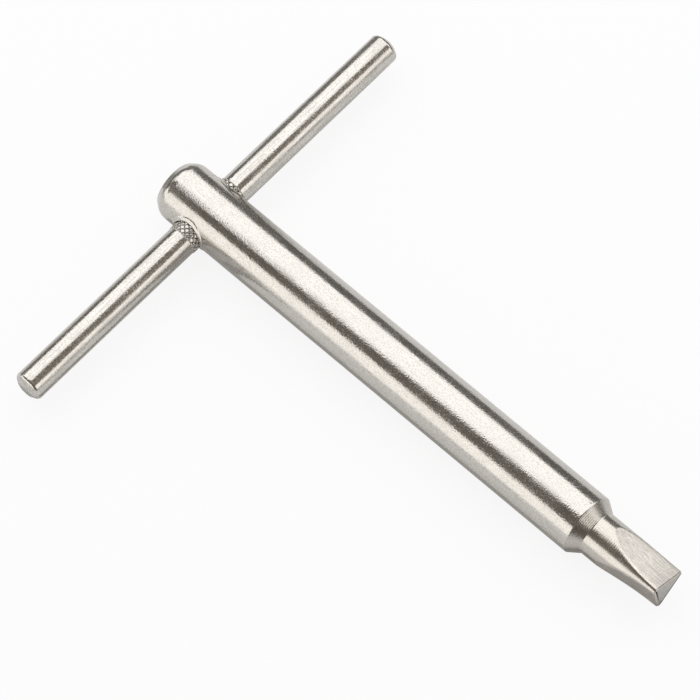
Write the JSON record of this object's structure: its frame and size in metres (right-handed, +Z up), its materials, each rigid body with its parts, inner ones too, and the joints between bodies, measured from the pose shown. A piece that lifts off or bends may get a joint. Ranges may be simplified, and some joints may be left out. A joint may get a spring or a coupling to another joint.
{
  "type": "triangle wrench",
  "caption": "T-handled key for triangular sockets: a round steel shank with a hollow-milled three-sided drive tip and a plain bar pressed crosswise through its head.",
  "frame": {"origin": "centre of the drive tip's end face, on the shank's axis", "axes": "+X along the shank and out of the drive tip, Y along the cross bar, +Z up when the tool lies on a table"},
  "size_m": [0.1, 0.079, 0.01],
  "materials": {
    "shank_nickel": "bright nickel plate over turned and milled steel, slightly satin",
    "bar_nickel": "bright nickel plate over drawn steel bar, knurled at the middle"
  },
  "bodies": {
    "root": {"shank": "shank_nickel", "cross_bar": "bar_nickel"}
  },
  "joints": []
}
